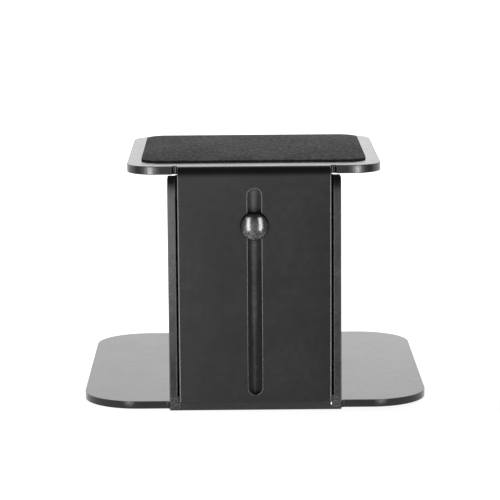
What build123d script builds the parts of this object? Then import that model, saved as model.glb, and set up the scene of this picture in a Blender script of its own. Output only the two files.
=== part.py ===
# Height-adjustable C-shaped stand: a base plate with an upright column, and a bent
# top bracket whose slotted panel slides between the column's side rails.
# Millimetres, +Z up. The origin is at floor level under the middle of the stand.
# The column stands at the -Y side, and both plates reach from it towards +Y.
import math
import os
from build123d import *

os.makedirs("parts", exist_ok=True)

# sheet steel: base and column plate, and the thicker sheet of the top bracket
T = 4.5
TOP_T = 4.9
EDGE_R = 0.5
BASE_EDGE_R = 0.3

# base plate and its tongue under the column
FOOT_H = 1.5
FOOT_R = 10.0
FOOT_INSET = 26.0
BASE_W = 203.0
BASE_D = 203.0
BASE_R = 33.0
TONGUE_OUT = 5.2
TONGUE_ROOT_R = 2.0
TONGUE_TIP_R = 1.2
BASE_FRONT = -96.5
BASE_Z = FOOT_H
BASE_TOP = BASE_Z + T
FACE_Y = BASE_FRONT - TONGUE_OUT

# column: plate between two side rails, front edges of the rails flush with FACE_Y
COLUMN_W = 100.4
RAIL_T = 4.5
RAIL_D = 13.0
RAIL_TOP = 138.3
RAIL_CORNER_R = 1.0
RAIL_EASE_H = 10.0
RAIL_EASE_D = 3.4
SLIDE_GAP = 0.25
WEB_W = COLUMN_W - 2 * RAIL_T
WEB_FRONT = FACE_Y + TOP_T + SLIDE_GAP
WEB_REAR = WEB_FRONT + T
WEB_TOP = 139.1
WEB_CHAMFER = 0.8

# top bracket in its lowest position
TOP_W = 148.0
TOP_D = 148.0
TOP_R = 17.0
TOP_Z = 139.6
BEND_IN_R = 1.0
BEND_OUT_R = BEND_IN_R + TOP_T
PANEL_W = 88.7
PANEL_BOTTOM = BASE_TOP + 0.1
NOTCH_W = 3.15
NOTCH_D = 2.0
SLOT_W = 7.9
SLOT_LENGTH = 121.3
SLOT_MID_Z = 71.25

# pad on the top plate
PAD_W = 132.0
PAD_D = 125.0
PAD_T = 1.2
PAD_R = 12.5
PAD_MID_Y = BASE_FRONT + 80.5

# clamping bolt, washers and knob, all on one axis along Y
BOLT_Z = 110.3
SHANK_R = 3.0
SHANK_HOLE_R = 3.1
NECK_W = 6.4
NECK_L = 4.6
HEAD_R = 8.2
HEAD_RIM = 2.1
HEAD_DOME = 2.2
HEAD_GAP = 0.5
WASHER_R = 6.0
WASHER_T = 1.6
SPRING_WASHER_R = 5.9
SPRING_WASHER_T = 1.6
SPRING_WASHER_SPLIT = 1.2
STACK_END = WEB_REAR + WASHER_T + SPRING_WASHER_T
SHANK_END = STACK_END + 12.0
INSERT_R = 5.0
INSERT_L = 14.0
INSERT_BORE_R = 3.05
HUB_R = 10.5
HUB_L = 9.0
KNOB_R = 20.0
KNOB_L = 15.0
KNOB_LOBES = 6
KNOB_SCALLOP_R = 7.0
KNOB_SCALLOP_AT = 23.0
KNOB_CAVITY_R = 3.6
KNOB_CAVITY_END = STACK_END + 17.0

# weld beads
FRONT_WELD_H = 0.7
FRONT_WELD_HALF = 2.4
FRONT_WELD_W = 4.0
FILLET_WELD = 3.2


def save(part, name):
    """Label one piece and write its STEP file."""
    part.label = name
    export_step(part, f"parts/{name}.step")


# ---- base plate -------------------------------------------------------------
with BuildPart() as base_plate:
    with BuildSketch(Plane.XY.offset(BASE_Z)) as base_outline:
        with Locations((0, BASE_FRONT + BASE_D / 2)):
            RectangleRounded(BASE_W, BASE_D, BASE_R)
        with Locations((0, FACE_Y + 10)):
            Rectangle(COLUMN_W, 20)
        root_points = base_outline.vertices().filter_by_position(
            Axis.Y, BASE_FRONT - 0.01, BASE_FRONT + 0.01
        ).filter_by_position(Axis.X, -COLUMN_W / 2 - 0.1, COLUMN_W / 2 + 0.1)
        fillet(root_points, TONGUE_ROOT_R)
        fillet(base_outline.vertices().group_by(Axis.Y)[0], TONGUE_TIP_R)
    extrude(amount=T)
    base_faces = base_plate.faces().filter_by(Plane.XY)
    fillet(base_faces.edges(), BASE_EDGE_R)
save(base_plate.part, "base_plate")

# ---- column plate with the bolt hole ------------------------------------------
with BuildPart() as column_plate:
    with BuildSketch(Plane.XZ.offset(-WEB_REAR)):
        with Locations((0, (BASE_TOP + WEB_TOP) / 2)):
            Rectangle(WEB_W, WEB_TOP - BASE_TOP)
        with Locations((0, BOLT_Z)):
            Circle(SHANK_HOLE_R, mode=Mode.SUBTRACT)
    extrude(amount=T)
    top_edges = column_plate.faces().sort_by(Axis.Z)[-1].edges().filter_by(Axis.X)
    chamfer(top_edges.sort_by(Axis.Y)[0], WEB_CHAMFER)
save(column_plate.part, "column_plate")

# ---- side rails: flat bars welded to both edges of the column plate -------------
# Near the top the front edge of each rail curves back a little.
rail_ease_r = (RAIL_EASE_H**2 + RAIL_EASE_D**2) / (2 * RAIL_EASE_D)
for side, x_in in (("left", -COLUMN_W / 2), ("right", COLUMN_W / 2 - RAIL_T)):
    outer_x = -COLUMN_W / 2 if side == "left" else COLUMN_W / 2
    with BuildPart() as side_rail:
        with BuildSketch(Plane.YZ.offset(x_in)):
            with BuildLine():
                RadiusArc(
                    (FACE_Y + RAIL_EASE_D, RAIL_TOP),
                    (FACE_Y, RAIL_TOP - RAIL_EASE_H),
                    -rail_ease_r,
                )
                Polyline(
                    (FACE_Y, RAIL_TOP - RAIL_EASE_H),
                    (FACE_Y, BASE_TOP),
                    (FACE_Y + RAIL_D, BASE_TOP),
                    (FACE_Y + RAIL_D, RAIL_TOP),
                    (FACE_Y + RAIL_EASE_D, RAIL_TOP),
                )
            make_face()
        extrude(amount=RAIL_T)
        top_edges = side_rail.faces().sort_by(Axis.Z)[-1].edges().filter_by(Axis.Y)
        fillet(top_edges.sort_by(lambda e: abs(e.center().X - outer_x))[0], RAIL_CORNER_R)
        front_face = side_rail.faces().filter_by(Plane.XZ).sort_by(Axis.Y)[0]
        fillet(front_face.edges().filter_by(Axis.Z), EDGE_R)
    save(side_rail.part, f"side_rail_{side}")

# ---- front welds: low rounded beads across the joint of rail and tongue ---------
for side, x_mid in (("left", -COLUMN_W / 2 + RAIL_T / 2), ("right", COLUMN_W / 2 - RAIL_T / 2)):
    with BuildPart() as front_weld:
        with BuildSketch(Plane.YZ.offset(x_mid - FRONT_WELD_W / 2)):
            with BuildLine():
                ThreePointArc(
                    (FACE_Y, BASE_TOP - FRONT_WELD_HALF),
                    (FACE_Y - FRONT_WELD_H, BASE_TOP),
                    (FACE_Y, BASE_TOP + FRONT_WELD_HALF),
                )
                Line((FACE_Y, BASE_TOP + FRONT_WELD_HALF), (FACE_Y, BASE_TOP - FRONT_WELD_HALF))
            make_face()
        extrude(amount=FRONT_WELD_W)
    save(front_weld.part, f"weld_front_{side}")

# ---- weld along the foot of the column plate, on its rear side ------------------
with BuildPart() as weld_column:
    with BuildSketch(Plane.YZ.offset(-WEB_W / 2 + FILLET_WELD)):
        with BuildLine():
            Polyline(
                (WEB_REAR, BASE_TOP + FILLET_WELD),
                (WEB_REAR, BASE_TOP),
                (WEB_REAR + FILLET_WELD, BASE_TOP),
            )
            ThreePointArc(
                (WEB_REAR + FILLET_WELD, BASE_TOP),
                (WEB_REAR + FILLET_WELD * 0.62, BASE_TOP + FILLET_WELD * 0.62),
                (WEB_REAR, BASE_TOP + FILLET_WELD),
            )
        make_face()
    extrude(amount=WEB_W - 2 * FILLET_WELD)
save(weld_column.part, "weld_column")

# ---- welds in the rear inside corners of the rails -----------------------------
for side, sign in (("left", -1), ("right", 1)):
    corner_x = sign * WEB_W / 2
    with BuildPart() as rail_weld:
        with BuildSketch(Plane.XY.offset(BASE_TOP)):
            with BuildLine():
                Polyline(
                    (corner_x - sign * FILLET_WELD, WEB_REAR),
                    (corner_x, WEB_REAR),
                    (corner_x, WEB_REAR + FILLET_WELD),
                )
                ThreePointArc(
                    (corner_x, WEB_REAR + FILLET_WELD),
                    (corner_x - sign * FILLET_WELD * 0.62, WEB_REAR + FILLET_WELD * 0.62),
                    (corner_x - sign * FILLET_WELD, WEB_REAR),
                )
            make_face()
        extrude(amount=WEB_TOP - BASE_TOP - 5.5)
    save(rail_weld.part, f"weld_rail_{side}")

# ---- anti-slip feet -------------------------------------------------------------
foot_x = BASE_W / 2 - FOOT_INSET
for end, foot_y in (("front", BASE_FRONT + FOOT_INSET), ("rear", BASE_FRONT + BASE_D - FOOT_INSET)):
    for side, sign in (("left", -1), ("right", 1)):
        with BuildPart() as foot:
            with BuildSketch(Plane.XY):
                with Locations((sign * foot_x, foot_y)):
                    Circle(FOOT_R)
            extrude(amount=FOOT_H)
            chamfer(foot.faces().sort_by(Axis.Z)[0].edges(), 0.3)
        save(foot.part, f"foot_{end}_{side}")

# ---- top bracket: top plate, bend and slotted panel in one sheet ------------------
with BuildPart() as top_bracket:
    with BuildSketch(Plane.XY.offset(TOP_Z)):
        with Locations((0, BASE_FRONT + TOP_D / 2)):
            RectangleRounded(TOP_W, TOP_D, TOP_R)
        with Locations((0, BASE_FRONT + NOTCH_D / 2)):
            Rectangle(PANEL_W + 2 * NOTCH_W, NOTCH_D, mode=Mode.SUBTRACT)
    extrude(amount=TOP_T)
    notch_edges = (
        top_bracket.edges()
        .filter_by(Axis.Z)
        .filter_by_position(Axis.Y, BASE_FRONT + NOTCH_D - 0.01, BASE_FRONT + NOTCH_D + 0.01)
    )
    fillet(notch_edges, NOTCH_D * 0.6)
    with BuildSketch(Plane.YZ):
        with BuildLine():
            Line((BASE_FRONT + 12, TOP_Z + TOP_T), (FACE_Y + BEND_OUT_R, TOP_Z + TOP_T))
            RadiusArc(
                (FACE_Y + BEND_OUT_R, TOP_Z + TOP_T),
                (FACE_Y, TOP_Z + TOP_T - BEND_OUT_R),
                -BEND_OUT_R,
            )
            Polyline(
                (FACE_Y, TOP_Z + TOP_T - BEND_OUT_R),
                (FACE_Y, PANEL_BOTTOM),
                (FACE_Y + TOP_T, PANEL_BOTTOM),
                (FACE_Y + TOP_T, TOP_Z - BEND_IN_R),
            )
            RadiusArc(
                (FACE_Y + TOP_T, TOP_Z - BEND_IN_R),
                (FACE_Y + BEND_OUT_R, TOP_Z),
                BEND_IN_R,
            )
            Polyline(
                (FACE_Y + BEND_OUT_R, TOP_Z),
                (BASE_FRONT + 12, TOP_Z),
                (BASE_FRONT + 12, TOP_Z + TOP_T),
            )
        make_face()
    extrude(amount=PANEL_W / 2, both=True)
    with BuildSketch(Plane.XZ.offset(-FACE_Y)):
        with Locations((0, SLOT_MID_Z)):
            SlotOverall(SLOT_LENGTH, SLOT_W, rotation=90)
    extrude(amount=-TOP_T - 1, mode=Mode.SUBTRACT)
    panel_face = top_bracket.faces().filter_by(Plane.XZ).sort_by(Axis.Y)[0]
    bend_line_z = TOP_Z + TOP_T - BEND_OUT_R
    panel_edges = panel_face.edges().filter_by_position(
        Axis.Z, PANEL_BOTTOM + 0.01, bend_line_z - 0.01
    )
    plate_edges = top_bracket.edges().filter_by(
        lambda e: abs(e.center().X) > PANEL_W / 2 + NOTCH_W + 0.1 or e.center().Y > 0
    )
    upper_edges = plate_edges.filter_by_position(Axis.Z, TOP_Z + TOP_T - 0.01, TOP_Z + TOP_T + 0.01)
    lower_edges = plate_edges.filter_by_position(Axis.Z, TOP_Z - 0.01, TOP_Z + 0.01)
    fillet(panel_edges + upper_edges + lower_edges, EDGE_R)
save(top_bracket.part, "top_bracket")

# ---- pad --------------------------------------------------------------------------
with BuildPart() as top_pad:
    with BuildSketch(Plane.XY.offset(TOP_Z + TOP_T)):
        with Locations((0, PAD_MID_Y)):
            RectangleRounded(PAD_W, PAD_D, PAD_R)
    extrude(amount=PAD_T)
    fillet(top_pad.faces().sort_by(Axis.Z)[-1].edges(), 0.5)
save(top_pad.part, "top_pad")

# ---- round-head bolt with a square neck --------------------------------------------
head_seat = FACE_Y - HEAD_GAP
head_tip = head_seat - HEAD_RIM - HEAD_DOME
dome_r = (HEAD_R**2 + HEAD_DOME**2) / (2 * HEAD_DOME)
half_angle = math.asin(HEAD_R / dome_r) / 2
with BuildPart() as carriage_bolt:
    with BuildSketch(Plane.YZ):
        with BuildLine():
            ThreePointArc(
                (head_tip, BOLT_Z),
                (head_tip + dome_r * (1 - math.cos(half_angle)), BOLT_Z + dome_r * math.sin(half_angle)),
                (head_seat - HEAD_RIM, BOLT_Z + HEAD_R),
            )
            Polyline(
                (head_seat - HEAD_RIM, BOLT_Z + HEAD_R),
                (head_seat, BOLT_Z + HEAD_R),
                (head_seat, BOLT_Z + SHANK_R),
                (SHANK_END - 0.8, BOLT_Z + SHANK_R),
                (SHANK_END, BOLT_Z + SHANK_R - 0.8),
                (SHANK_END, BOLT_Z),
                (head_tip, BOLT_Z),
            )
        make_face()
    revolve(axis=Axis((0, 0, BOLT_Z), (0, 1, 0)))
    with BuildSketch(Plane.XZ.offset(-head_seat)):
        with Locations((0, BOLT_Z)):
            RectangleRounded(NECK_W, NECK_W, 0.4)
    extrude(amount=-NECK_L)
save(carriage_bolt.part, "carriage_bolt")

# ---- washers ------------------------------------------------------------------------
with BuildPart() as flat_washer:
    with BuildSketch(Plane.XZ.offset(-WEB_REAR)):
        with Locations((0, BOLT_Z)):
            Circle(WASHER_R)
            Circle(SHANK_R + 0.2, mode=Mode.SUBTRACT)
    extrude(amount=-WASHER_T)
save(flat_washer.part, "flat_washer")

with BuildPart() as spring_washer:
    with BuildSketch(Plane.XZ.offset(-WEB_REAR - WASHER_T)):
        with Locations((0, BOLT_Z)):
            Circle(SPRING_WASHER_R)
            Circle(SHANK_R + 0.15, mode=Mode.SUBTRACT)
        with Locations((0, BOLT_Z + SPRING_WASHER_R / 2)):
            Rectangle(SPRING_WASHER_SPLIT, SPRING_WASHER_R, mode=Mode.SUBTRACT)
    extrude(amount=-SPRING_WASHER_T)
save(spring_washer.part, "spring_washer")

# ---- clamping knob -------------------------------------------------------------------
with BuildPart() as knob_insert:
    with BuildSketch(Plane.XZ.offset(-STACK_END)):
        with Locations((0, BOLT_Z)):
            Circle(INSERT_R)
            Circle(INSERT_BORE_R, mode=Mode.SUBTRACT)
    extrude(amount=-INSERT_L)
save(knob_insert.part, "knob_insert")

with BuildPart() as knob_body:
    with BuildSketch(Plane.XZ.offset(-STACK_END - 0.5)):
        with Locations((0, BOLT_Z)):
            Circle(HUB_R)
    extrude(amount=-HUB_L)
    with BuildSketch(Plane.XZ.offset(-STACK_END - HUB_L)):
        with Locations((0, BOLT_Z)):
            Circle(KNOB_R)
            with PolarLocations(KNOB_SCALLOP_AT, KNOB_LOBES):
                Circle(KNOB_SCALLOP_R, mode=Mode.SUBTRACT)
    extrude(amount=-KNOB_L)
    lobe_edges = knob_body.edges().filter_by(Axis.Y)
    fillet(lobe_edges, 1.6)
    fillet(knob_body.faces().sort_by(Axis.Y)[-1].edges(), 2.0)
    with BuildSketch(Plane.XZ.offset(-STACK_END)):
        with Locations((0, BOLT_Z)):
            Circle(INSERT_R)
    extrude(amount=-INSERT_L, mode=Mode.SUBTRACT)
    with BuildSketch(Plane.XZ.offset(-STACK_END)):
        with Locations((0, BOLT_Z)):
            Circle(KNOB_CAVITY_R)
    extrude(amount=STACK_END - KNOB_CAVITY_END, mode=Mode.SUBTRACT)
save(knob_body.part, "knob_body")
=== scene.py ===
import math

import bpy
import numpy as np
from mathutils import Matrix, Vector, noise
from mathutils.geometry import delaunay_2d_cdt


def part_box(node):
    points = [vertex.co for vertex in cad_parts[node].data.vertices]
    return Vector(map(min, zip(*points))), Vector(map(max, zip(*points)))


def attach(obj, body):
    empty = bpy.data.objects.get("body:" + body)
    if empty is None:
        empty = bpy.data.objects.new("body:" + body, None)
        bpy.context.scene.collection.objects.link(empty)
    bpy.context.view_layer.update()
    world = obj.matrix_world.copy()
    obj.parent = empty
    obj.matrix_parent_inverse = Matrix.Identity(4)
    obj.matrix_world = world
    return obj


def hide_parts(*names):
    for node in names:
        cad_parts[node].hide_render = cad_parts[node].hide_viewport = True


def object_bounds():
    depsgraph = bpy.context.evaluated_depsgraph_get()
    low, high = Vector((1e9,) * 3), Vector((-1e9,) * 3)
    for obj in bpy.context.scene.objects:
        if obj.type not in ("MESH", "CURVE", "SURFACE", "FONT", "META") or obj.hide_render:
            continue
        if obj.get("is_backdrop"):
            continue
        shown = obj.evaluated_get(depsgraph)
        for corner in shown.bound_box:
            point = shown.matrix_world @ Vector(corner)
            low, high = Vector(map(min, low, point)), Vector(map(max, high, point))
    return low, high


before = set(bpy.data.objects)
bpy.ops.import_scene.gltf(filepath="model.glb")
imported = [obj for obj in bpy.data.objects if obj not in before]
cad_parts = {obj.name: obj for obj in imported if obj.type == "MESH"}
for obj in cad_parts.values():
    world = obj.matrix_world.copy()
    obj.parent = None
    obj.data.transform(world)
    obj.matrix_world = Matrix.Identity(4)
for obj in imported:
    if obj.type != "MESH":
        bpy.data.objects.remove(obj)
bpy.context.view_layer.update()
scene = bpy.context.scene
MM = 0.001
TURN = 2 * math.pi
QUARTER = math.pi / 2
CLOSE = 1e-7


# ---------------------------------------------------------------- outlines
def rounded_loop(corners, seg=10):
    """Closed outline with every corner rounded: corners are (x, y, radius), counter-clockwise.
    Returns points and outward normals."""
    points, normals = [], []
    count = len(corners)
    for i in range(count):
        before = np.array(corners[i - 1][:2], float)
        corner = np.array(corners[i][:2], float)
        after = np.array(corners[(i + 1) % count][:2], float)
        radius = corners[i][2]
        way_in = (corner - before) / np.linalg.norm(corner - before)
        way_out = (after - corner) / np.linalg.norm(after - corner)
        turn = math.atan2(way_in[0] * way_out[1] - way_in[1] * way_out[0], way_in @ way_out)
        cut = radius * math.tan(abs(turn) / 2)
        side = 1.0 if turn > 0 else -1.0
        left = np.array([-way_in[1], way_in[0]])
        centre = corner - way_in * cut + left * radius * side
        steps = max(2, int(round(seg * abs(turn) / QUARTER)))
        for k in range(steps + 1):
            c, s = math.cos(turn * k / steps), math.sin(turn * k / steps)
            normal = np.array([left[1] * s - left[0] * c, -left[0] * s - left[1] * c])
            points.append(centre + normal * radius * side)
            normals.append(normal)
    return np.array(points), np.array(normals)


def rounded_rect(x0, y0, x1, y1, r, seg=10):
    return rounded_loop([(x0, y0, r), (x1, y0, r), (x1, y1, r), (x0, y1, r)], seg)


def as_hole(loop):
    return loop[0][::-1].copy(), -loop[1][::-1].copy()


def split_rows(loop, rows, reach):
    """Adds points where the outline's upright sides cross the given heights; sides farther than
    reach from the middle stay as they are."""
    points, normals = loop
    new_points, new_normals = [], []
    for i in range(len(points)):
        a, b = points[i], points[(i + 1) % len(points)]
        new_points.append(a)
        new_normals.append(normals[i])
        if abs(a[0] - b[0]) < 1e-9 and abs(a[0]) < reach:
            bottom, top = min(a[1], b[1]) + CLOSE, max(a[1], b[1]) - CLOSE
            for v in sorted((v for v in rows if bottom < v < top), reverse=bool(b[1] < a[1])):
                new_points.append(np.array([a[0], v]))
                new_normals.append(normals[i])
    return np.array(new_points), np.array(new_normals)


def split_columns(loop, columns, reach):
    """The same for level sides and given places across."""
    points, normals = split_rows((loop[0][:, ::-1], loop[1][:, ::-1]), columns, reach)
    return points[:, ::-1], normals[:, ::-1]


def inside(points, loops):
    """Even-odd test of many points against all outlines."""
    hit = np.zeros(len(points), bool)
    px, py = points[:, 0], points[:, 1]
    for loop in loops:
        for (ax, ay), (bx, by) in zip(loop, np.roll(loop, -1, 0)):
            if ay != by:
                hit ^= ((ay > py) != (by > py)) & (px < (bx - ax) * (py - ay) / (by - ay) + ax)
    return hit


# ---------------------------------------------------------------- meshes
def make_object(name, verts, normals, faces, mats, slots=None):
    """Mesh object with given vertex normals; faces are turned to agree with them."""
    verts = np.asarray(verts, float)
    normals = np.asarray(normals, float)
    normals /= np.linalg.norm(normals, axis=1)[:, None] + 1e-12
    fixed = []
    for face in faces:
        p = verts[list(face)]
        facing = np.zeros(3)
        for i in range(1, len(p) - 1):
            facing += np.cross(p[i] - p[0], p[i + 1] - p[0])
        agrees = facing @ normals[list(face)].mean(0) >= 0
        fixed.append(tuple(face) if agrees else tuple(face)[::-1])
    mesh = bpy.data.meshes.new(name)
    mesh.from_pydata([tuple(v) for v in verts], [], fixed)
    mesh.update()
    obj = place_mesh(name, mesh, mats)
    if slots is not None:
        mesh.polygons.foreach_set("material_index", slots)
    mesh.normals_split_custom_set_from_vertices([tuple(v) for v in normals])
    return obj


def place_mesh(name, mesh, mats):
    """Smooth shading, materials and an object in the scene for a mesh."""
    mesh.polygons.foreach_set("use_smooth", [True] * len(mesh.polygons))
    for m in mats:
        mesh.materials.append(m)
    obj = bpy.data.objects.new(name, mesh)
    scene.collection.objects.link(obj)
    return obj


def fill(co, edges, loops):
    """Triangles that fill the outlines and leave their holes open, as tuples of point numbers."""
    scaled = [Vector((float(x) * 1000, float(y) * 1000)) for x, y in co]
    made = delaunay_2d_cdt(scaled, edges, [], 0, 1e-6)
    back = [source[0] if source else None for source in made[3]]
    triangles = [tuple(back[i] for i in f) for f in made[2]]
    triangles = [f for f in triangles if None not in f]
    keep = inside(np.array([co[list(f)].mean(0) for f in triangles]), loops)
    return [f for f, kept in zip(triangles, keep) if kept]


def plate(name, loops, t, r_low, r_high, place, mats, rows=(), arc=4, columns=(), choose=None):
    """A sheet with rounded edges. Outlines lie in (u, v), thickness along w from 0 to t.
    r_low and r_high give the edge radius at each outline point of the w = 0 and w = t sides.
    place(u, v, w, nu, nv, nw) maps points and normals to the frame. rows and columns are lines that
    the faces keep to. Flat faces have slot 0, side walls slot 1 and rounded edges the last slot, and
    choose(u, v, w, slot) may give a face another slot."""
    u, v, w, nu, nv, nw = [], [], [], [], [], []
    faces, slots = [], []
    caps = {0: [], 1: []}
    base = 0
    last = len(mats) - 1
    for points, normals in loops:
        n = len(points)
        low_r = np.array([r_low(p, q) for p, q in zip(points, normals)])
        high_r = np.array([r_high(p, q) for p, q in zip(points, normals)])
        angles = [QUARTER * k / arc for k in range(arc + 1)]
        rings = [(low_r, a, low_r * (1 - math.cos(a)), -math.cos(a)) for a in angles]
        rings += [(high_r, a, t - high_r * (1 - math.cos(a)), math.cos(a)) for a in reversed(angles)]
        for radius, a, height, up in rings:
            inset = radius * (1 - math.sin(a))
            u.extend(points[:, 0] - normals[:, 0] * inset)
            v.extend(points[:, 1] - normals[:, 1] * inset)
            w.extend(height)
            nu.extend(normals[:, 0] * math.sin(a))
            nv.extend(normals[:, 1] * math.sin(a))
            nw.extend([up] * n)
        for k in range(len(rings) - 1):
            near, far = base + k * n, base + (k + 1) * n
            for i in range(n):
                j = (i + 1) % n
                faces.append((near + i, near + j, far + j, far + i))
                slots.append(min(1, last) if k == arc else last)
        caps[0].append((base, n))
        caps[1].append((base + (len(rings) - 1) * n, n))
        base += len(rings) * n
    u, v, w = np.array(u), np.array(v), np.array(w)
    for side in (0, 1):
        index, edges, loop_co = [], [], []
        for start, n in caps[side]:
            first = len(index)
            index.extend(range(start, start + n))
            edges.extend((first + i, first + (i + 1) % n) for i in range(n))
            loop_co.append(np.stack([u[start : start + n], v[start : start + n]], 1))
        co = np.concatenate(loop_co)
        for axis, lines in ((1, rows), (0, columns)):
            for line in lines:
                on = [i for i in range(len(index)) if abs(co[i, axis] - line) < CLOSE]
                if len(on) == 2:
                    edges.append(tuple(on))
        for f in fill(co, edges, loop_co):
            faces.append(tuple(index[i] for i in f))
            slots.append(0)
    if choose:
        mids = [(u[list(f)].mean(), v[list(f)].mean(), w[list(f)].mean()) for f in faces]
        slots = [choose(*m, slot) for m, slot in zip(mids, slots)]
    x, y, z, nx, ny, nz = place(u, v, w, np.array(nu), np.array(nv), np.array(nw))
    return make_object(name, np.stack([x, y, z], 1), np.stack([nx, ny, nz], 1), faces, mats, slots)


def flat_z(z0):
    return lambda u, v, w, a, b, c: (u, v, z0 + w, a, b, c)


def flat_x(x0):
    """u along Y, v along Z, w along X."""
    return lambda u, v, w, a, b, c: (x0 + w, u, v, c, a, b)


def flat_y(y0):
    """u along X, v along Z, w along Y."""
    return lambda u, v, w, a, b, c: (u, y0 + w, v, a, c, b)


def lathe(name, profile, centre, mats, seg=48, axis="y", choose=None):
    """Turned piece. profile is a list of (along, radius, smooth); a point that isn't smooth
    gets two rings, so that its edge stays crisp. choose(along, radius) gives a face's slot."""
    verts, normals, faces, slots = [], [], [], []
    rings = []
    last = len(profile) - 1

    def direction(i, j):
        d = np.array([profile[j][0] - profile[i][0], profile[j][1] - profile[i][1]], float)
        d /= np.linalg.norm(d) + 1e-15
        return np.array([-d[1], d[0]])

    for i, (at, radius, smooth) in enumerate(profile):
        before = direction(i - 1, i) if i > 0 else None
        after = direction(i, i + 1) if i < last else None
        if before is None or after is None:
            rings.append((at, radius, after if before is None else before))
        elif smooth:
            middle = before + after
            rings.append((at, radius, middle / np.linalg.norm(middle)))
        else:
            rings.append((at, radius, before))
            rings.append((at, radius, after))
    for at, radius, normal in rings:
        for k in range(seg):
            c, s = math.cos(TURN * k / seg), math.sin(TURN * k / seg)
            if axis == "y":
                verts.append((centre[0] + radius * c, at, centre[2] + radius * s))
                normals.append((normal[1] * c, normal[0], normal[1] * s))
            else:
                verts.append((centre[0] + radius * c, centre[1] + radius * s, at))
                normals.append((normal[1] * c, normal[1] * s, normal[0]))
    for r, (near, far) in enumerate(zip(rings, rings[1:])):
        if math.dist(near[:2], far[:2]) < 1e-12:
            continue
        slot = choose((near[0] + far[0]) / 2, (near[1] + far[1]) / 2) if choose else 0
        for k in range(seg):
            j = (k + 1) % seg
            faces.append((r * seg + k, r * seg + j, (r + 1) * seg + j, (r + 1) * seg + k))
            slots.append(slot)
    return make_object(name, verts, normals, faces, mats, slots)


# ---------------------------------------------------------------- materials
pad_low, pad_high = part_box("top_pad")
bolt_low, bolt_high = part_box("carriage_bolt")
BOLT_Z = (bolt_low.z + bolt_high.z) / 2
X_AXIS, Y_AXIS, Z_AXIS = 0, 1, 2


def grey(value, blue=0.0):
    """A neutral colour, or one with a touch more blue."""
    return (value, value, value + blue)


def material(name, colour, rough, metal=0.0, ior=1.5, specular=0.5):
    m = bpy.data.materials.new(name)
    m.use_nodes = True
    p = m.node_tree.nodes["Principled BSDF"]
    p.inputs["Base Color"].default_value = (*colour, 1)
    p.inputs["Roughness"].default_value = rough
    p.inputs["Metallic"].default_value = metal
    p.inputs["IOR"].default_value = ior
    p.inputs["Specular IOR Level"].default_value = specular
    return m, m.node_tree, p


def noise_node(tree, scale, detail=3.0, rough=0.55, stretch=None):
    coord = tree.nodes.new("ShaderNodeTexCoord")
    tex = tree.nodes.new("ShaderNodeTexNoise")
    tex.inputs["Scale"].default_value = scale
    tex.inputs["Detail"].default_value = detail
    tex.inputs["Roughness"].default_value = rough
    place = coord.outputs["Object"]
    if stretch:
        mapping = tree.nodes.new("ShaderNodeMapping")
        mapping.inputs["Scale"].default_value = stretch
        tree.links.new(place, mapping.inputs["Vector"])
        place = mapping.outputs["Vector"]
    tree.links.new(place, tex.inputs["Vector"])
    return tex.outputs["Fac"]


def ramp(tree, source, low, high, a, b, smooth=False):
    """Value that runs from a to b while source runs from low to high."""
    node = tree.nodes.new("ShaderNodeMapRange")
    if smooth:
        node.interpolation_type = "SMOOTHSTEP"
    node.inputs["From Min"].default_value = low
    node.inputs["From Max"].default_value = high
    node.inputs["To Min"].default_value = a
    node.inputs["To Max"].default_value = b
    tree.links.new(source, node.inputs["Value"])
    return node.outputs["Result"]


def mix_colour(tree, p, factor, a, b):
    """Base colour that runs from a to b with factor."""
    node = tree.nodes.new("ShaderNodeMix")
    node.data_type = "RGBA"
    node.inputs[6].default_value = (*a, 1)
    node.inputs[7].default_value = (*b, 1)
    tree.links.new(factor, node.inputs[0])
    tree.links.new(node.outputs[2], p.inputs["Base Color"])


def math_node(tree, op, a, b=None):
    node = tree.nodes.new("ShaderNodeMath")
    node.operation = op
    for socket, value in zip(node.inputs, (a, b)):
        if isinstance(value, (int, float)):
            socket.default_value = value
        elif value is not None:
            tree.links.new(value, socket)
    return node.outputs[0]


def bump(tree, p, height, strength, distance, after=None):
    node = tree.nodes.new("ShaderNodeBump")
    node.inputs["Strength"].default_value = strength
    node.inputs["Distance"].default_value = distance
    tree.links.new(height, node.inputs["Height"])
    if after is not None:
        tree.links.new(after, node.inputs["Normal"])
    tree.links.new(node.outputs["Normal"], p.inputs["Normal"])
    return node.outputs["Normal"]


def along(tree, axis, low, high, a, b):
    """Value that runs from a to b between two places along an axis, in mm."""
    coord = tree.nodes.new("ShaderNodeTexCoord")
    split = tree.nodes.new("ShaderNodeSeparateXYZ")
    tree.links.new(coord.outputs["Object"], split.inputs["Vector"])
    return ramp(tree, split.outputs[axis], low * MM, high * MM, a, b)


def with_rows(tree, value, rows):
    """Adds rows of (axis, low, high, a, b) to a value."""
    for row in rows:
        value = math_node(tree, "ADD", value, along(tree, *row))
    return value


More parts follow.
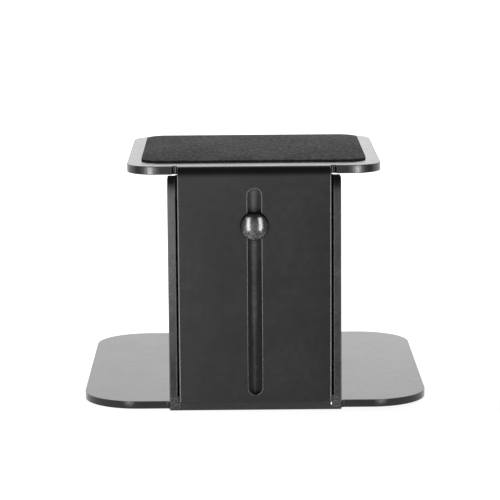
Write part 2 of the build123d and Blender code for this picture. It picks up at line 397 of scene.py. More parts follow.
def painted(
    name, colour, rough, grain=0.12, brushed=None, light=None, shade=(), uneven=0.035, gloss=(), **surface
):
    """Satin black coat on sheet steel: fine grain, faint blotches in colour and gloss, and brushed
    lines when a stretch for them is given. The rows in shade and gloss are added to the colour mix
    and to the roughness."""
    m, tree, p = material(name, colour, rough, **surface)
    blotch = noise_node(tree, 28.0, 4.0)
    patch = noise_node(tree, 240.0, 4.0, 0.65)
    value = ramp(tree, blotch, 0.3, 0.7, rough - 0.02, rough + 0.02)
    value = math_node(tree, "ADD", value, ramp(tree, patch, 0.3, 0.7, -uneven, uneven))
    tree.links.new(with_rows(tree, value, gloss), p.inputs["Roughness"])
    mix = math_node(tree, "MULTIPLY", blotch, math_node(tree, "ADD", patch, 0.5))
    mix_colour(tree, p, with_rows(tree, mix, shade), colour, light or tuple(c * 1.9 for c in colour))
    fine = noise_node(tree, 2600.0, 2.0, 0.6)
    first = bump(tree, p, fine, grain, 0.12 * MM)
    if brushed:
        bump(tree, p, noise_node(tree, 900.0, 3.0, 0.6, brushed), 0.35, 0.2 * MM, first)
    return m


def corner_rows(size):
    """Rows that add size where the top plate's front edge turns into its corners."""
    return [
        (X_AXIS, 54, 58, 0.0, size),
        (X_AXIS, 63, 67, 0.0, -size),
        (X_AXIS, -58, -54, size, 0.0),
        (X_AXIS, -67, -63, -size, 0.0),
    ]


LONG_LINES = (1.0, 1.0, 0.08)
RAIL_LINES = (1.0, 1.0, 0.12)
# darkens each rail towards its top end, as painted shade under the top plate
RAIL_TOP_SHADE = (Z_AXIS, 128, 136, 0.0, -1.0)
STEEL = painted("black_coat", grey(0.005, 0.0001), 0.17, light=grey(0.010, 0.0002))
# the front panel's coat is painted lighter towards its upper left and darker towards its lower right, as
# painted light
PANEL_PAINTED_LIGHT = painted(
    "black_coat_panel_painted_light",
    grey(0.0006),
    0.19,
    light=grey(0.016, 0.0002),
    shade=[(X_AXIS, -45, 45, 0.30, -0.36), (Z_AXIS, 10, 135, -0.26, 0.24)],
)
EDGE = painted("black_coat_cut_edge", grey(0.005), 0.20, 0.2, LONG_LINES)
# the rails' coats are painted lighter upwards and the left one lighter than the right, as painted light;
# their top ends get painted shade
RAIL_LEFT_PAINTED_LIGHT = painted(
    "black_coat_left_rail_painted_light",
    grey(0.005),
    0.20,
    0.25,
    RAIL_LINES,
    light=grey(0.078),
    shade=[(Z_AXIS, 20, 105, -0.34, 0.50), RAIL_TOP_SHADE],
    uneven=0.05,
    gloss=[(Z_AXIS, 10, 120, 0.0, 0.10)],
)
RAIL_RIGHT_PAINTED_LIGHT = painted(
    "black_coat_right_rail_painted_light",
    grey(0.005),
    0.22,
    0.25,
    RAIL_LINES,
    light=grey(0.044),
    shade=[(Z_AXIS, 20, 70, -0.28, 0.20), RAIL_TOP_SHADE],
    uneven=0.08,
)
BASE_EDGE = painted("black_coat_base_edge", grey(0.005), 0.15, 0.2, LONG_LINES, uneven=0.02, specular=0.38)
RIM = painted("black_coat_rubbed_rim", grey(0.006), 0.30, 0.2, ior=1.85)
# lighter, more reflective rims for the panel's upright edges, as a painted highlight
SIDE_RIM_HIGHLIGHT = painted("black_coat_side_rim_painted_highlight", grey(0.012), 0.30, 0.2, ior=2.3)
# the slot's rims are painted lighter towards the top, as a painted highlight
SLOT_RIM_HIGHLIGHT = painted(
    "black_coat_slot_rim_painted_highlight",
    grey(0.006),
    0.30,
    0.2,
    light=grey(0.130),
    shade=[(Z_AXIS, 20, 90, -0.55, 0.05)],
    ior=1.85,
)
# the top plate's front edge is made more reflective where it turns into its corners, as a painted
# highlight
TOP_EDGE = painted("black_coat_top_edge_painted_corner_highlight", grey(0.005), 0.20, 0.2, LONG_LINES, gloss=corner_rows(0.10))
top_tree = TOP_EDGE.node_tree
corner_highlight_ior = with_rows(top_tree, 1.5, corner_rows(0.6))
top_tree.links.new(corner_highlight_ior, top_tree.nodes["Principled BSDF"].inputs["IOR"])
# near-black matte coat put where shade falls, as painted shade: in the gaps beside the panel, on the
# rails' top ends and round the bolt head's border
GAP_SHADE = painted("painted_gap_shade", grey(0.0008), 0.6, specular=0.08)
# the web's front, seen through the slot, is painted lighter down the middle and towards the top as painted
# light, and darker at the sides as the slot walls' painted shade
WEB_PAINTED_LIGHT = painted(
    "black_coat_web_painted_light_and_shade",
    grey(0.0006),
    0.26,
    light=grey(0.094),
    shade=[
        (Z_AXIS, 20, 130, -0.28, 0.30),
        (X_AXIS, -2.6, -0.7, -0.55, 0.0),
        (X_AXIS, -0.1, 1.8, 0.0, -0.52),
    ],
    specular=0.30,
)
WELD = painted("coated_weld", grey(0.003), 0.22, 0.5)


def foam_material(name, dark, light, rear_sheen=0.0):
    """Dense fine-cell foam: cells, clouds of tone, and painted sheen that makes it a little lighter
    towards the rear.
    """
    m, tree, p = material(name, light, 0.95, specular=0.25)
    cells = tree.nodes.new("ShaderNodeTexVoronoi")
    cells.inputs["Scale"].default_value = 1500.0
    coord = tree.nodes.new("ShaderNodeTexCoord")
    tree.links.new(coord.outputs["Object"], cells.inputs["Vector"])
    cloud = noise_node(tree, 34.0, 5.0, 0.6, (1.0, 0.45, 1.0))
    fleck = noise_node(tree, 480.0, 3.0, 0.65, (0.8, 0.35, 1.0))
    mix = ramp(tree, cloud, 0.3, 0.7, 0.24, 0.58)
    mix = math_node(tree, "ADD", mix, ramp(tree, fleck, 0.3, 0.7, -0.38, 0.42))
    mix = with_rows(tree, mix, [(Y_AXIS, pad_low.y / MM, pad_high.y / MM, -rear_sheen, rear_sheen)])
    mix_colour(tree, p, mix, dark, light)
    first = bump(tree, p, cells.outputs["Distance"], 0.35, 0.2 * MM)
    bump(tree, p, cloud, 0.1, 0.4 * MM, first)
    return m


def rubber_material():
    m, tree, p = material("foot_rubber", grey(0.02), 0.8)
    bump(tree, p, noise_node(tree, 1500.0), 0.3, 0.1 * MM)
    return m


def bolt_material():
    """Dark plated steel, mottled below, with the sides of the upper half painted a little darker as shade.
    """
    m, tree, p = material("black_nickel_painted_flank_shade", grey(0.085, 0.001), 0.16, metal=1.0)
    tone = noise_node(tree, 700.0, 2.0, 0.6, (1.0, 1.0, 1.5))
    # painted shade: the sides of the head's upper half are darker
    left_flank_shade = along(tree, X_AXIS, -7.2, -4.2, -0.45, 0.0)
    right_flank_shade = along(tree, X_AXIS, 4.2, 7.2, 0.0, -0.30)
    flank_shade = math_node(tree, "ADD", left_flank_shade, right_flank_shade)
    upper = along(tree, Z_AXIS, BOLT_Z / MM - 3.5, BOLT_Z / MM - 1.5, 0.0, 1.0)
    mottle = ramp(tree, tone, 0.38, 0.62, -0.5, 0.5)
    calm = math_node(tree, "SUBTRACT", 1.0, math_node(tree, "MULTIPLY", upper, 0.7))
    mix = math_node(tree, "ADD", math_node(tree, "MULTIPLY", mottle, calm), 0.52)
    mix = math_node(tree, "ADD", mix, math_node(tree, "MULTIPLY", flank_shade, upper))
    mix_colour(tree, p, mix, grey(0.062, 0.001), grey(0.195, 0.001))
    tree.links.new(ramp(tree, tone, 0.3, 0.7, 0.12, 0.20), p.inputs["Roughness"])
    bump(tree, p, noise_node(tree, 900.0, 3.0, 0.6), 0.35, 0.12 * MM)
    return m


def zinc_material():
    m, tree, p = material("zinc_plate", grey(0.62, 0.01), 0.32, metal=1.0)
    tone = noise_node(tree, 600.0, 4.0)
    mix_colour(tree, p, tone, grey(0.5, 0.01), grey(0.7))
    bump(tree, p, tone, 0.15, 0.1 * MM)
    return m


def brass_material():
    m, tree, p = material("brass_insert", (0.72, 0.56, 0.30), 0.3, metal=1.0)
    tone = noise_node(tree, 700.0, 3.0)
    mix_colour(tree, p, tone, (0.6, 0.45, 0.22), (0.78, 0.62, 0.36))
    bump(tree, p, tone, 0.12, 0.1 * MM)
    return m


def knob_material():
    m, tree, p = material("knob_plastic", grey(0.022, 0.001), 0.45)
    mix_colour(tree, p, noise_node(tree, 60.0, 3.0), grey(0.018, 0.001), grey(0.03, 0.001))
    bump(tree, p, noise_node(tree, 1600.0, 2.0), 0.3, 0.12 * MM)
    return m


# the pad's top gets painted sheen, a little lighter towards the rear
FOAM = foam_material("foam_pad", grey(0.038), grey(0.208, 0.002), 0.235)
FOAM_EDGE = foam_material("foam_pad_cut_edge", grey(0.012), grey(0.018))
RUBBER, BOLT = rubber_material(), bolt_material()
ZINC, BRASS, KNOB = zinc_material(), brass_material(), knob_material()


def done(obj, body, slot, *nodes):
    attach(obj, body)
    if nodes:
        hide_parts(*nodes)
    return obj


# ---------------------------------------------------------------- base plate
NEARLY = 0.9999  # keeps a sliver of straight side between two half circles
CUT = 0.3 * MM  # edge radius of a cut sheet
low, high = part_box("base_plate")
web_low, web_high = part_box("column_plate")
FACE = low.y
TONGUE = 5.2 * MM
FRONT = FACE + TONGUE
COLUMN = -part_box("side_rail_left")[0].x
ROOT_R, TONGUE_R, BASE_R = 2.0 * MM, 1.2 * MM, 33 * MM
corners = [
    (-high.x, FRONT, BASE_R),
    (-COLUMN, FRONT, ROOT_R),
    (-COLUMN, FACE, TONGUE_R),
    (COLUMN, FACE, TONGUE_R),
    (COLUMN, FRONT, ROOT_R),
    (high.x, FRONT, BASE_R),
    (high.x, high.y, BASE_R),
    (-high.x, high.y, BASE_R),
]


def tongue_edge(p, q):
    return 0.12 * MM if p[1] < FACE + 0.5 * MM else CUT


def base_slot(u, v, w, slot):
    """The tongue's end keeps the full gloss; the plate's own edge is a little duller."""
    return 2 if slot == 1 and v < FACE + 0.5 * MM else slot


base = plate(
    "base_plate_body",
    [rounded_loop(corners, 20)],
    high.z - low.z,
    lambda p, q: CUT,
    tongue_edge,
    flat_z(low.z),
    [STEEL, BASE_EDGE, EDGE, RIM],
    choose=base_slot,
)
done(base, "base", "black_steel", "base_plate")

# ---------------------------------------------------------------- column plate
HOLE_R = 3.1 * MM
hole = as_hole(rounded_rect(-HOLE_R, BOLT_Z - HOLE_R, HOLE_R, BOLT_Z + HOLE_R, HOLE_R * NEARLY, 12))
GAP_X = 43.75 * MM
web_outline = rounded_rect(web_low.x, web_low.z, web_high.x, web_high.z, 0.4 * MM, 3)


def web_slot(u, v, w, slot):
    """Painted shade beside the panel, painted light and shade on the front face, plain coat behind."""
    if abs(u) > GAP_X and (w < 2 * MM or v > web_high.z - 1 * MM):
        return 2
    if slot == 0 and w > 2 * MM:
        return 3
    return min(slot, 1)


web = plate(
    "column_plate_body",
    [split_columns(web_outline, (-GAP_X, GAP_X), 1.0), hole],
    web_high.y - web_low.y,
    lambda p, q: 0.8 * MM if q[1] > 0.9 and p[1] > 100 * MM else CUT,
    lambda p, q: CUT,
    flat_y(web_low.y),
    [WEB_PAINTED_LIGHT, EDGE, GAP_SHADE, STEEL],
    columns=(-GAP_X, GAP_X),
    choose=web_slot,
)
done(web, "base", "black_steel", "column_plate")

# ---------------------------------------------------------------- side rails
EASE_H, EASE_D, EASE_STEPS = 10.0 * MM, 3.4 * MM, 12
EASE_R = (EASE_H**2 + EASE_D**2) / (2 * EASE_D)
gap_end = web_low.y
for side, coat in (("left", RAIL_LEFT_PAINTED_LIGHT), ("right", RAIL_RIGHT_PAINTED_LIGHT)):
    node = f"side_rail_{side}"
    low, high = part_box(node)
    profile = [(low.y, low.z, 0.2 * MM), (high.y, low.z, 0.2 * MM), (high.y, high.z, 0.5 * MM)]
    for k in range(EASE_STEPS + 1):
        rise = EASE_H * (1 - k / EASE_STEPS)
        back = EASE_R - math.sqrt(EASE_R**2 - rise**2)
        profile.append((low.y + back, high.z - EASE_H + rise, 0.5 * MM if k == 0 else 0.02 * MM))
    inner_w = 0.0 if side == "right" else high.x - low.x

    def outer(p, q, high=high):
        return 0.95 * MM if q[1] > 0.7 and p[1] > high.z - 1 * MM else 0.5 * MM

    def inner(p, q):
        return 0.35 * MM

    def rail_slot(u, v, w, slot, inner_w=inner_w, low=low, high=high):
        """Painted shade inside the gap and on the top end; the rail's coat with its painted light is on
        the front edge only.
        """
        if u < gap_end and abs(w - inner_w) < 0.1 * MM:
            return 3
        if v > high.z - 0.6 * MM and u > low.y + EASE_D:
            return 3
        if slot == 1 and u < low.y + EASE_D + 0.1 * MM:
            return 1
        return 2 if slot >= 2 else 0

    rail = plate(
        f"{node}_body",
        [split_columns(rounded_loop(profile, 4), (gap_end,), 1.0)],
        high.x - low.x,
        outer if side == "left" else inner,
        inner if side == "left" else outer,
        flat_x(low.x),
        [EDGE, coat, RIM, GAP_SHADE],
        columns=(gap_end,),
        choose=rail_slot,
    )
    done(rail, "base", "black_steel", node)

# ---------------------------------------------------------------- top bracket
low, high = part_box("top_bracket")
TOP_T = 4.9 * MM
R_IN = 1.0 * MM
R_OUT = R_IN + TOP_T
PANEL = 44.35 * MM
WING = PANEL + 0.5 * MM  # farther out than this the sheet is all top plate
NOTCH, NOTCH_DEPTH = 3.15 * MM, 2.0 * MM
NOTCH_R, NOTCH_EDGE_R, TOP_R = 1.2 * MM, 0.4 * MM, 17 * MM
BEND_STEPS = 14
bend_y = FACE + R_OUT
bend_z = high.z - TOP_T - R_IN
length = bend_z - low.z
arc_length = R_OUT * QUARTER
v_plate = length + arc_length
v_front = v_plate + (FRONT - bend_y)
v_rear = v_plate + (high.y - bend_y)
corners = [
    (-PANEL, 0.0, 0.3 * MM),
    (PANEL, 0.0, 0.3 * MM),
    (PANEL, v_front + NOTCH_DEPTH, NOTCH_R),
    (PANEL + NOTCH, v_front + NOTCH_DEPTH, NOTCH_R),
    (PANEL + NOTCH, v_front, NOTCH_EDGE_R),
    (high.x, v_front, TOP_R),
    (high.x, v_rear, TOP_R),
    (-high.x, v_rear, TOP_R),
    (-high.x, v_front, TOP_R),
    (-PANEL - NOTCH, v_front, NOTCH_EDGE_R),
    (-PANEL - NOTCH, v_front + NOTCH_DEPTH, NOTCH_R),
    (-PANEL, v_front + NOTCH_DEPTH, NOTCH_R),
]
rows = [length + arc_length * k / BEND_STEPS for k in range(BEND_STEPS + 1)]
outline = split_rows(rounded_loop(corners, 14), rows, WING)
SLOT_LOW, SLOT_HIGH, SLOT_R = 10.6 * MM, 131.9 * MM, 3.95 * MM
slot_outline = rounded_rect(-SLOT_R, SLOT_LOW - low.z, SLOT_R, SLOT_HIGH - low.z, SLOT_R * NEARLY, 12)


def bent(u, v, w, a, b, c):
    """Panel, then bend, then plate. w runs from the inner face to the outer one."""
    wing = np.abs(u) > WING
    phi = np.where(wing, QUARTER, np.clip((v - length) / arc_length, 0, 1) * QUARTER)
    straight = np.where(v < length, v - length, np.maximum(v - v_plate, 0))
    straight = np.where(wing, v - v_plate, straight)
    radius = R_IN + w
    cs, sn = np.cos(phi), np.sin(phi)
    y = bend_y - radius * cs + straight * sn
    z = bend_z + radius * sn + straight * cs
    return u, y, z, a, b * sn - c * cs, b * cs + c * sn


def bracket_edge(p, q):
    if abs(q[0]) > 0.9 and abs(p[0]) > PANEL - 1 * MM and p[1] < length:
        return 0.65 * MM
    return 0.1 * MM if q[1] < -0.9 and p[1] < 1 * MM else 0.5 * MM


def bracket_slot(u, v, w, slot):
    """On the panel: painted shade on the side walls, painted highlights on the side rims and the slot rim,
    and a coat painted lighter towards the upper left as painted light. Everywhere else: plain coat,
    the top plate's edge coat with a painted highlight at its corners, and a rubbed rim."""
    if v < length and abs(u) > PANEL - 0.01 * MM and slot == 1:
        return 3
    if v < length and abs(u) > PANEL - 1 * MM and slot > 1:
        return 5
    if v < length and slot == 0:
        return 4
    if v < length and slot > 1 and abs(u) < SLOT_R + 1 * MM:
        return 6
    return min(slot, 2)


bracket = plate(
    "top_bracket_body",
    [outline, as_hole(slot_outline)],
    TOP_T,
    bracket_edge,
    bracket_edge,
    bent,
    [STEEL, TOP_EDGE, RIM, GAP_SHADE, PANEL_PAINTED_LIGHT, SIDE_RIM_HIGHLIGHT, SLOT_RIM_HIGHLIGHT],
    rows,
    5,
    choose=bracket_slot,
)
done(bracket, "bracket", "bracket_steel", "top_bracket")

# ---------------------------------------------------------------- pad
low, high = pad_low, pad_high
pad = plate(
    "top_pad_body",
    [rounded_rect(low.x, low.y, high.x, high.y, 12.5 * MM, 14)],
    high.z - low.z,
    lambda p, q: 0.1 * MM,
    lambda p, q: 0.35 * MM,
    flat_z(low.z),
    [FOAM, FOAM_EDGE, FOAM],
)
done(pad, "bracket", "pad_foam", "top_pad")

# ---------------------------------------------------------------- bolt
low, high = bolt_low, bolt_high
HEAD_R = (high.x - low.x) / 2
SHANK_R = 3.0 * MM
RIM_H, SHOULDER, SHADED_BORDER = 2.1 * MM, 0.9 * MM, 0.55 * MM
DOME_STEPS, SHOULDER_STEPS = 14, 8
seat = FACE - 0.5 * MM
dome = seat - RIM_H - low.y
dome_r = (HEAD_R**2 + dome**2) / (2 * dome)
full = math.asin((HEAD_R - SHOULDER) / (dome_r - SHOULDER))
profile = []
for k in range(DOME_STEPS + 1):
    a = full * k / DOME_STEPS
    profile.append((low.y + dome_r * (1 - math.cos(a)), max(dome_r * math.sin(a), 1e-6), True))
turn_y = profile[-1][0] + SHOULDER * math.cos(full)
for k in range(1, SHOULDER_STEPS + 1):
    a = full + (QUARTER - full) * k / SHOULDER_STEPS
    profile.append((turn_y - SHOULDER * math.cos(a), HEAD_R - SHOULDER * (1 - math.sin(a)), True))
profile += [
    (seat - 0.25 * MM, HEAD_R, True),
    (seat, HEAD_R - 0.25 * MM, True),
    (seat, SHANK_R, False),
    (high.y - 0.8 * MM, SHANK_R, False),
    (high.y, SHANK_R - 0.8 * MM, False),
    (high.y, 1e-6, True),
]


def bolt_slot(y, r):
    """The border of the head gets the painted gap shade, as its contact shadow."""
    return 1 if r > HEAD_R - SHADED_BORDER else 0


bolt = lathe("bolt_body", profile, (0, 0, BOLT_Z), [BOLT, GAP_SHADE], 64, choose=bolt_slot)
done(bolt, "base", "bolt_metal", "carriage_bolt")
NECK = 3.2 * MM
neck = plate(
    "bolt_neck",
    [rounded_rect(-NECK, BOLT_Z - NECK, NECK, BOLT_Z + NECK, 0.4 * MM, 4)],
    4.6 * MM,
    lambda p, q: 0.1 * MM,
    lambda p, q: 0.3 * MM,
    flat_y(seat),
    [BOLT],
)
done(neck, "base", "bolt_metal")


# ---------------------------------------------------------------- washers
def turned_ring(name, node, r_in, chamfer, mat):
    """A flat ring on the bolt's axis with a bevelled outer edge, as large as its CAD piece."""
    low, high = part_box(node)
    r_out = (high.x - low.x) / 2
    profile = [
        (low.y, r_in, False),
        (low.y, r_out - chamfer, False),
        (low.y + chamfer, r_out, False),
        (high.y - chamfer, r_out, False),
        (high.y, r_out - chamfer, False),
        (high.y, r_in, False),
        (low.y, r_in, False),
    ]
    return lathe(name, profile, (0, 0, BOLT_Z), [mat])


washer = turned_ring("flat_washer_body", "flat_washer", 3.2 * MM, 0.2 * MM, ZINC)
done(washer, "washers", "washer_metal", "flat_washer")

low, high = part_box("spring_washer")
SPLIT = 0.11
SPRING_STEPS = 46
# radius in mm, share of the thickness, and the normal's radial and axial parts
SECTION = [
    (3.15, 0.15, -1, 0),
    (3.3, 0, 0, -1),
    (5.75, 0, 0, -1),
    (5.9, 0.15, 1, 0),
    (5.9, 0.85, 1, 0),
    (5.75, 1, 0, 1),
    (3.3, 1, 0, 1),
    (3.15, 0.85, -1, 0),
]
around = len(SECTION)
verts, normals, faces = [], [], []
turns = [QUARTER + SPLIT + (TURN - 2 * SPLIT) * k / SPRING_STEPS for k in range(SPRING_STEPS + 1)]
for a in turns:
    c, s = math.cos(a), math.sin(a)
    for r, share, radial, axial in SECTION:
        verts.append((r * MM * c, low.y + (high.y - low.y) * share, BOLT_Z + r * MM * s))
        normals.append((radial * c, axial, radial * s))
for k in range(SPRING_STEPS):
    for i in range(around):
        j = (i + 1) % around
        near, far = k * around, (k + 1) * around
        faces.append((near + i, near + j, far + j, far + i))
for k, way in ((0, 1), (SPRING_STEPS, -1)):
    first = len(verts)
    verts.extend(verts[k * around : (k + 1) * around])
    normals.extend([(math.sin(turns[k]) * way, 0, -math.cos(turns[k]) * way)] * around)
    faces.append(tuple(range(first, first + around)))
spring = make_object("spring_washer_body", verts, normals, faces, [ZINC])
done(spring, "washers", "washer_metal", "spring_washer")

# ---------------------------------------------------------------- knob
insert = turned_ring("knob_insert_body", "knob_insert", 3.05 * MM, 0.3 * MM, BRASS)
done(insert, "knob", "insert_metal", "knob_insert")

low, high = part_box("knob_body")
HEAD_L = 15 * MM
hub_y, head_y, end_y = low.y, high.y - HEAD_L, high.y
LOBES, VALLEY_R, LOBE_H = 6, 15.9, 4.1
REAR_R, FRONT_R, CROWN = 1.5 * MM, 2.4 * MM, 1.0 * MM
REAR_STEPS, FRONT_STEPS, CROWN_STEPS = 5, 8, 8
n = 360
points = []
for k in range(n):
    a = TURN * k / n
    f = (0.5 + 0.5 * math.cos(LOBES * (a - QUARTER))) ** 0.8
    r = (VALLEY_R + LOBE_H * f) * MM
    points.append((r * math.cos(a), BOLT_Z + r * math.sin(a)))
points = np.array(points)
tangents = np.roll(points, -1, 0) - np.roll(points, 1, 0)
outward = np.stack([tangents[:, 1], -tangents[:, 0]], 1)
outward /= np.linalg.norm(outward, axis=1)[:, None]
rings = []
for k in range(REAR_STEPS + 1):
    a = QUARTER * k / REAR_STEPS
    y = head_y + REAR_R * (1 - math.cos(a))
    rings.append((y, REAR_R * (1 - math.sin(a)), -math.cos(a), math.sin(a)))
for k in range(FRONT_STEPS + 1):
    a = QUARTER * k / FRONT_STEPS
    y = end_y - CROWN - FRONT_R * (1 - math.sin(a))
    rings.append((y, FRONT_R * (1 - math.cos(a)), math.sin(a), math.cos(a)))
verts, normals, faces = [], [], []
for y, inset, normal_y, side in rings:
    for p, q in zip(points, outward):
        verts.append((p[0] - q[0] * inset, y, p[1] - q[1] * inset))
        normals.append((q[0] * side, normal_y, q[1] * side))
rear = np.array([(v[0], v[2] - BOLT_Z) for v in verts[:n]])
front = np.array([(v[0], v[2] - BOLT_Z) for v in verts[-n:]])
for k in range(1, CROWN_STEPS + 1):
    f = 1 - k / CROWN_STEPS
    slope = 2 * CROWN * f / (14 * MM)
    for p in front:
        q = p * max(f, 1e-4)
        d = q / (np.linalg.norm(q) + 1e-12)
        verts.append((q[0], end_y - CROWN + CROWN * (1 - f * f), q[1] + BOLT_Z))
        normals.append((d[0] * slope, 1.0, d[1] * slope))
first = len(verts)
for p in rear:
    d = p / np.linalg.norm(p) * 10.0 * MM
    verts.append((d[0], head_y, d[1] + BOLT_Z))
    normals.append((0, -1, 0))
for r in range(first // n - 1):
    for i in range(n):
        j = (i + 1) % n
        faces.append((r * n + i, r * n + j, (r + 1) * n + j, (r + 1) * n + i))
for i in range(n):
    j = (i + 1) % n
    faces.append((i, j, first + j, first + i))
knob = make_object("knob_head", verts, normals, faces, [KNOB])
done(knob, "knob", "knob_plastic", "knob_body")
hub_profile = [
    (hub_y, 5.0 * MM, False),
    (hub_y, 9.6 * MM, False),
    (hub_y + 0.6 * MM, 10.2 * MM, True),
    (head_y - 1.2 * MM, 10.5 * MM, True),
    (head_y - 0.3 * MM, 11.2 * MM, True),
    (head_y + 0.1 * MM, 12.4 * MM, True),
]
hub = lathe("knob_hub", hub_profile, (0, 0, BOLT_Z), [KNOB])
done(hub, "knob", "knob_plastic")


# ---------------------------------------------------------------- welds
def grid(columns, rows):
    """Faces of a sheet of points laid row by row."""
    starts = [j * columns + i for j in range(rows - 1) for i in range(columns - 1)]
    return [(q, q + 1, q + columns + 1, q + columns) for q in starts]


def weld_mesh(name, verts, faces):
    mesh = bpy.data.meshes.new(name)
    mesh.from_pydata([tuple(v) for v in verts], [], faces)
    mesh.update()
    return mesh


def bead(node, start, end, out_a, out_b, size, seed):
    """A weld bead along a line in an inside corner. out_a and out_b point away from the corner
    along its two faces."""
    start, end = Vector(start), Vector(end)
    out_a, out_b = Vector(out_a), Vector(out_b)
    steps = max(8, int((end - start).length / (0.55 * MM)))
    around = 9
    verts = []
    for k in range(steps + 1):
        t = k / steps
        at = start.lerp(end, t)
        near_end = min(t, 1 - t)
        taper = min(1.0, math.sin(math.pi * near_end * 6) + 0.25) if near_end < 1 / 12 else 1.0
        scallop = 0.92 + 0.08 * abs(math.sin(k * 0.9))
        for i in range(around):
            a = QUARTER * i / (around - 1)
            wobble = 1 + 0.10 * noise.noise(Vector((seed, k * 0.33, i * 0.7)))
            reach = size * scallop * taper * wobble * (1 - 0.12 * math.sin(2 * a))
            verts.append(at + out_a * (reach * math.cos(a)) + out_b * (reach * math.sin(a)))
    mesh = weld_mesh(f"{node}_body", verts, grid(around, steps + 1))
    done(place_mesh(f"{node}_body", mesh, [WELD]), "base", "weld", node)


low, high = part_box("weld_column")
foot_line = (low.x, low.y, low.z), (high.x, low.y, low.z)
bead("weld_column", *foot_line, (0, 1, 0), (0, 0, 1), high.z - low.z, 3.1)
for side, sign, seed in (("left", 1, 5.7), ("right", -1, 8.3)):
    low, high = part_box(f"weld_rail_{side}")
    x = low.x if side == "left" else high.x
    rail_line = (x, low.y, low.z), (x, low.y, high.z)
    bead(f"weld_rail_{side}", *rail_line, (sign, 0, 0), (0, 1, 0), high.y - low.y, seed)

# rough weld where each rail's foot meets the tongue, dressed down almost flush; the right one has
# a small zinc patch painted on as a glint
COLUMNS, ROWS = 34, 40
OUTER_X, INNER_X, UPPER_X = 49.7 * MM, 43.7 * MM, 45.4 * MM
BELOW, ABOVE = 4.2 * MM, 4.0 * MM
FADE, LUMP, SUNK = 1.2 * MM, 0.42 * MM, 0.05 * MM
GLINT_X = 44.1 * MM
GLINT_W, GLINT_H = 0.42, 0.75
for side, sign, seed in (("left", -1, 7), ("right", 1, 3)):
    node = f"weld_front_{side}"
    low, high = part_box(node)
    joint_z = (low.z + high.z) / 2
    bottom, top = joint_z - BELOW, joint_z + ABOVE
    verts = []
    for j in range(ROWS + 1):
        for i in range(COLUMNS + 1):
            fx, fz = i / COLUMNS, j / ROWS
            x = OUTER_X + (INNER_X - OUTER_X) * fx
            z = bottom + (top - bottom) * fz
            limit = UPPER_X if z > joint_z else INNER_X
            soft = min(1.0, max(0.0, (x - limit) / FADE))
            edge = min(1.0, fx * 7, fz * 5, (1 - fz) * 4) * soft
            edge = math.sin(max(0.0, edge) * QUARTER)
            p = Vector((x * sign * 900 + seed, z * 900, 1.7))
            lump = 0.55 + 0.70 * noise.noise(p) + 0.45 * noise.noise(p * 1.9)
            verts.append((x * sign, FACE - (LUMP * lump * edge - SUNK), z))
    faces = grid(COLUMNS + 1, ROWS + 1)
    if sign < 0:
        faces = [f[::-1] for f in faces]
    mesh = weld_mesh(f"{node}_body", verts, faces)
    if sum(p.normal.y for p in mesh.polygons) > 0:
        mesh.flip_normals()
    front_weld = place_mesh(f"{node}_body", mesh, [WELD, ZINC])
    # bright zinc faces on the right weld, as a painted glint
    glint_spot = Vector((GLINT_X, FACE, joint_z - 0.9 * MM))
    for polygon in mesh.polygons:
        away = polygon.center - glint_spot
        if (away.x / GLINT_W) ** 2 + (away.z / GLINT_H) ** 2 < MM**2:
            polygon.material_index = 1
    done(front_weld, "base", "weld", node)

# ---------------------------------------------------------------- feet
for end in ("front", "rear"):
    for side in ("left", "right"):
        node = f"foot_{end}_{side}"
        low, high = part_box(node)
        r = (high.x - low.x) / 2
        profile = [
            (low.z, 1e-6, True),
            (low.z, r - 0.35 * MM, False),
            (low.z + 0.3 * MM, r, False),
            (high.z, r, False),
            (high.z, 1e-6, True),
        ]
        foot = lathe(f"{node}_body", profile, (low + high) / 2, [RUBBER], 48, "z")
        done(foot, "base", "foot_rubber", node)


# ---------------------------------------------------------------- stage, light, camera
def smooth_step(tree, value, low, high, a=0.0, b=1.0):
    return ramp(tree, value, low, high, a, b, smooth=True)


def product(tree, value, *others):
    for other in others:
        value = math_node(tree, "MULTIPLY", value, other)
    return value


def places(tree, output):
    """The x, y and z of a texture coordinate."""
    coord = tree.nodes.new("ShaderNodeTexCoord")
    split = tree.nodes.new("ShaderNodeSeparateXYZ")
    tree.links.new(coord.outputs[output], split.inputs["Vector"])
    return split.outputs


# the floor glows: white behind the object, dimmer towards its front edge and there more so on the right
FLOOR_FRONT, FLOOR_REACH = -0.112, 9
corners = [
    (-FLOOR_REACH, FLOOR_FRONT, 0),
    (FLOOR_REACH, FLOOR_FRONT, 0),
    (FLOOR_REACH, FLOOR_REACH, 0),
    (-FLOOR_REACH, FLOOR_REACH, 0),
]
mesh = bpy.data.meshes.new("floor")
mesh.from_pydata(corners, [], [(0, 1, 2, 3)])
floor = bpy.data.objects.new("floor", mesh)
scene.collection.objects.link(floor)
pale_floor, tree, p = material("pale_floor", grey(0.35), 0.95, specular=0.1)
p.inputs["Emission Color"].default_value = (1, 1, 1, 1)
x, y, z = places(tree, "Object")
lean = smooth_step(tree, x, -0.25, 0.25, 1.12, 0.90)
behind = smooth_step(tree, y, -0.11, 0.15)
front_glow = product(tree, 0.92, lean, math_node(tree, "SUBTRACT", 1.0, behind))
glow = math_node(tree, "ADD", front_glow, product(tree, 1.3, behind))
tree.links.new(glow, p.inputs["Emission Strength"])
mesh.materials.append(pale_floor)
floor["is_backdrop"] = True

# the world is brightest behind the object and dims upwards; a camera ray sees plain white
world = bpy.data.worlds.new("studio")
scene.world = world
world.use_nodes = True
tree = world.node_tree
background = tree.nodes["Background"]
x, y, z = places(tree, "Generated")
behind = smooth_step(tree, y, 0.05, 0.4)
flank = smooth_step(tree, math_node(tree, "ABSOLUTE", x), 0.5, 0.8, 1.0, 0.6)
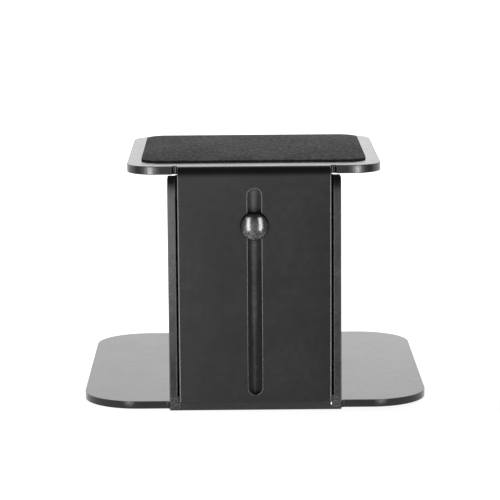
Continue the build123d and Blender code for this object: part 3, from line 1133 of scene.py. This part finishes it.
front = product(
    tree,
    smooth_step(tree, z, -0.16, 0.8, 0.80, 0.03),
    flank,
    smooth_step(tree, x, -0.16, 0.16, 1.2, 0.8),
    math_node(tree, "SUBTRACT", 1.0, behind),
)
back = product(
    tree,
    smooth_step(tree, z, 0.50, 0.85, 1.34, 0.10),
    smooth_step(tree, x, -0.07, 0.07, 1.0, 1.05),
    behind,
)
seen = tree.nodes.new("ShaderNodeLightPath").outputs["Is Camera Ray"]
unseen = math_node(tree, "SUBTRACT", 1.0, seen)
lit = product(tree, math_node(tree, "ADD", front, back), unseen)
lit = math_node(tree, "ADD", lit, product(tree, 1.05, seen))
tree.links.new(lit, background.inputs["Strength"])
background.inputs["Color"].default_value = (1, 1, 1, 1)

SOFTBOX = 6.2
LAMP_WIDTH, LAMP_HEIGHT = 0.34, 1.45
LAMP_ANGLE, LAMP_DISTANCE = math.radians(25), 1.5
AIM_Y, AIM_Z = -0.1, 0.16
for side in (-1, 1):
    light = bpy.data.lights.new(f"softbox_{'left' if side < 0 else 'right'}", "AREA")
    light.shape = "RECTANGLE"
    light.size = LAMP_WIDTH
    light.size_y = LAMP_HEIGHT
    light.energy = SOFTBOX * math.pi * light.size * light.size_y
    lamp = bpy.data.objects.new(light.name, light)
    scene.collection.objects.link(lamp)
    lamp.visible_camera = False
    across = math.sin(LAMP_ANGLE * side) * LAMP_DISTANCE
    away = math.cos(LAMP_ANGLE * side) * LAMP_DISTANCE
    lamp.location = Vector((across, AIM_Y - away, AIM_Z))
    aim = Vector((0, AIM_Y, AIM_Z)) - lamp.location
    lamp.rotation_mode = "QUATERNION"
    lamp.rotation_quaternion = aim.to_track_quat("-Z", "Y")

SENSOR = 36.0
FOCAL = 4.876  # focal length in picture widths
YAW, PITCH, ROLL = math.radians(0.364), math.radians(9.45), math.radians(-0.42)
STANDS = Vector((-0.0115, -1.4907, 0.3274))
camera = bpy.data.cameras.new("camera")
cam = bpy.data.objects.new("camera", camera)
scene.collection.objects.link(cam)
scene.camera = cam
camera.sensor_width = SENSOR
camera.lens = SENSOR * FOCAL
camera.clip_start = 0.05
camera.clip_end = 50
forward = Vector((math.sin(YAW) * math.cos(PITCH), math.cos(YAW) * math.cos(PITCH), -math.sin(PITCH)))
level = Vector((math.cos(YAW), -math.sin(YAW), 0))
upright = level.cross(forward)
right = level * math.cos(ROLL) + upright * math.sin(ROLL)
up = upright * math.cos(ROLL) - level * math.sin(ROLL)
place = Matrix((right, up, -forward)).transposed().to_4x4()
place.translation = STANDS
cam.matrix_world = place

scene.view_settings.view_transform = "Standard"

bpy.context.view_layer.update()
low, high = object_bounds()
